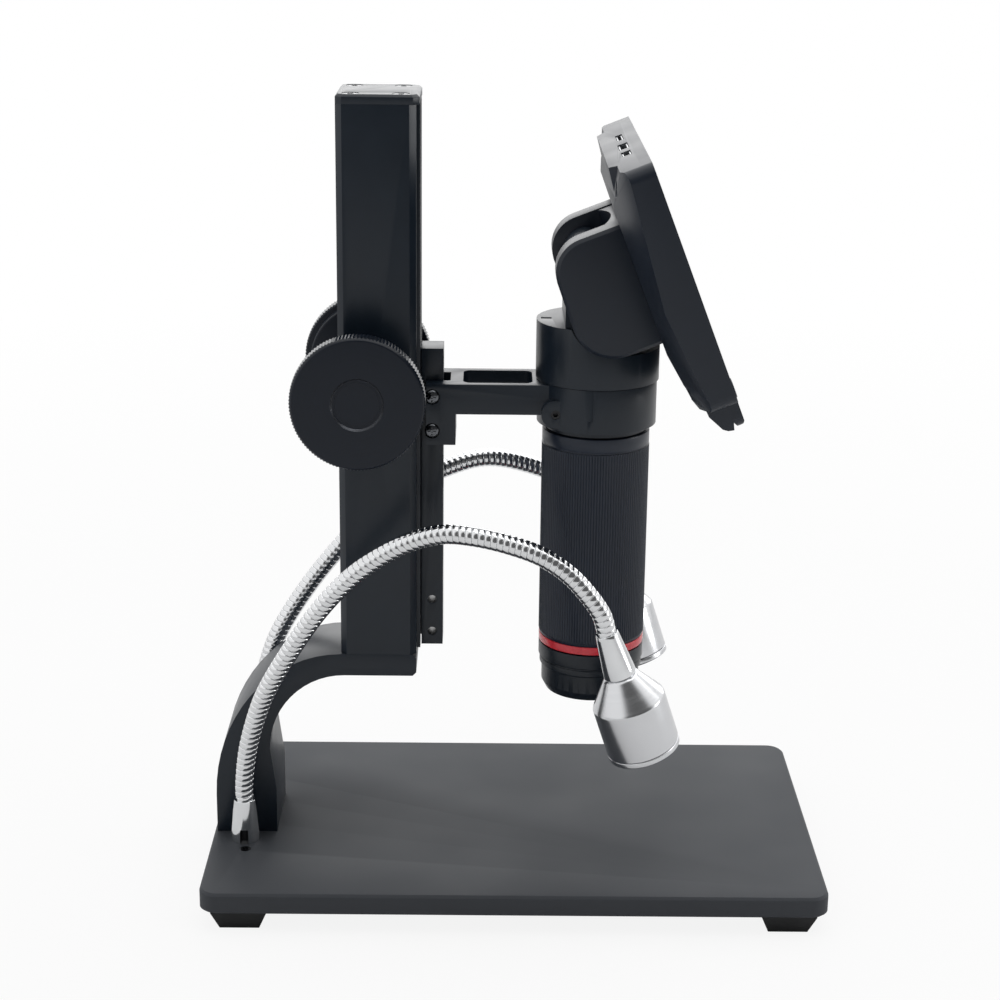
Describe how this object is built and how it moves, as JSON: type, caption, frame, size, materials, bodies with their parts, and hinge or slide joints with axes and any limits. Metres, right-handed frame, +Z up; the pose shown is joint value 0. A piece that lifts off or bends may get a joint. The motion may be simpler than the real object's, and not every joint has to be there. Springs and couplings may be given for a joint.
{
  "type": "digital microscope",
  "caption": "Bench digital microscope: rack-and-pinion column on a base plate, optical tube with a red ring, tilting screen on a clevis, two gooseneck lamps.",
  "frame": {"origin": "on the standing surface below the middle of the base plate's outline", "axes": "+X towards the user's side, +Y away from the near lamp, +Z up"},
  "size_m": [0.2, 0.12, 0.258],
  "materials": {
    "plate_paint": "satin",
    "arch_paint": "satin",
    "black_anodised": "satin anodised",
    "gloss_black": "gloss",
    "red_ring": "gloss",
    "housing_plastic": "fine matte",
    "rubber": "matte",
    "zinc_screws": "zinc plated",
    "bright_steel": "ground",
    "bush_brass": "machined",
    "neck_chrome": "polished",
    "lamp_aluminium": "satin",
    "lens_glass": "clear",
    "window_glass": "gloss",
    "cell_metal": "satin",
    "display": "gloss",
    "circuit_board": "solder mask",
    "battery_foil": "satin"
  },
  "bodies": {
    "stand": {"base_plate": "plate_paint", "plate_screws": "zinc_screws", "rubber_feet": "rubber", "foot_screws": "zinc_screws", "column_foot": "arch_paint", "arch_screws": "zinc_screws", "column": "black_anodised", "column_screws": "zinc_screws", "top_cap": "black_anodised", "cap_screws": "zinc_screws", "pinion_bushes": "bush_brass", "base_ferrules": "lamp_aluminium", "near_gooseneck": "neck_chrome", "far_gooseneck": "neck_chrome", "neck_ferrules": "lamp_aluminium", "near_lamp_head": "lamp_aluminium", "far_lamp_head": "lamp_aluminium", "lamp_rims": "lamp_aluminium", "lamp_lenses": "lens_glass", "led_boards": "circuit_board"},
    "carriage": {"slide_rail": "black_anodised", "rack": "bright_steel", "rack_screws": "zinc_screws", "arm_bracket": "black_anodised", "arm_screws": "zinc_screws", "clamp_screw": "zinc_screws"},
    "pinion": {"pinion_shaft": "bright_steel", "near_knob": "black_anodised", "far_knob": "black_anodised", "knob_caps": "black_anodised"},
    "microscope": {"scope_tube": "gloss_black", "head_block": "black_anodised", "sensor_board": "circuit_board", "lens_nose": "gloss_black", "objective_lens": "lens_glass", "hinge_studs": "bright_steel", "hinge_washers": "bright_steel"},
    "focus_ring": {"focus_barrel": "gloss_black", "red_ring": "red_ring"},
    "lens_cell": {"lens_cell": "cell_metal", "cell_lens": "lens_glass"},
    "screen": {"hinge_clevis": "housing_plastic", "clevis_screws": "zinc_screws", "back_shell": "housing_plastic", "front_bezel": "housing_plastic", "screen_window": "window_glass", "lcd_panel": "display", "main_board": "circuit_board", "battery": "battery_foil", "usb_port": "bright_steel", "hdmi_port": "bright_steel", "card_slot": "bright_steel", "button_board": "circuit_board", "shell_screws": "zinc_screws"},
    "power_button": {"power_button": "housing_plastic"},
    "menu_button": {"menu_button": "housing_plastic"},
    "up_button": {"up_button": "housing_plastic"},
    "down_button": {"down_button": "housing_plastic"},
    "ok_button": {"ok_button": "housing_plastic"}
  },
  "joints": [
    {"name": "focus_slide", "type": "slide", "parent": "stand", "child": "carriage", "axis": [0, 0, 1], "range_m": [-0.009, 0.07]},
    {"name": "knob_turn", "type": "hinge", "parent": "stand", "child": "pinion", "pos_m": [-0.0498, 0, 0.1665], "axis": [0, -1, 0], "range_deg": [-122.9, 955.5]},
    {"name": "tube_swivel", "type": "hinge", "parent": "carriage", "child": "microscope", "pos_m": [0.0252, 0, 0.16], "axis": [0, 0, 1], "range_deg": [-30, 30]},
    {"name": "barrel_turn", "type": "hinge", "parent": "microscope", "child": "focus_ring", "pos_m": [0.0252, 0, 0.11], "axis": [0, 0, 1], "range_deg": [-90, 90]},
    {"name": "lens_travel", "type": "slide", "parent": "microscope", "child": "lens_cell", "axis": [0, 0, 1], "range_m": [-0.01, 0.01]},
    {"name": "screen_tilt", "type": "hinge", "parent": "microscope", "child": "screen", "pos_m": [0.0214, 0, 0.2061], "axis": [0, -1, 0], "range_deg": [0, 68]},
    {"name": "power_press", "type": "slide", "parent": "screen", "child": "power_button", "axis": [-0.9304, 0, -0.3665], "range_m": [0, 0.0008], "stiffness_N_per_m": 600},
    {"name": "menu_press", "type": "slide", "parent": "screen", "child": "menu_button", "axis": [-0.9304, 0, -0.3665], "range_m": [0, 0.0008], "stiffness_N_per_m": 600},
    {"name": "up_press", "type": "slide", "parent": "screen", "child": "up_button", "axis": [-0.9304, 0, -0.3665], "range_m": [0, 0.0008], "stiffness_N_per_m": 600},
    {"name": "down_press", "type": "slide", "parent": "screen", "child": "down_button", "axis": [-0.9304, 0, -0.3665], "range_m": [0, 0.0008], "stiffness_N_per_m": 600},
    {"name": "ok_press", "type": "slide", "parent": "screen", "child": "ok_button", "axis": [-0.9304, 0, -0.3665], "range_m": [0, 0.0008], "stiffness_N_per_m": 600}
  ],
  "couplings": [
    {"joint": "knob_turn", "follows": "focus_slide", "rad_per_m": 238.1},
    {"joint": "lens_travel", "follows": "barrel_turn", "m_per_rad": 0.00636}
  ]
}
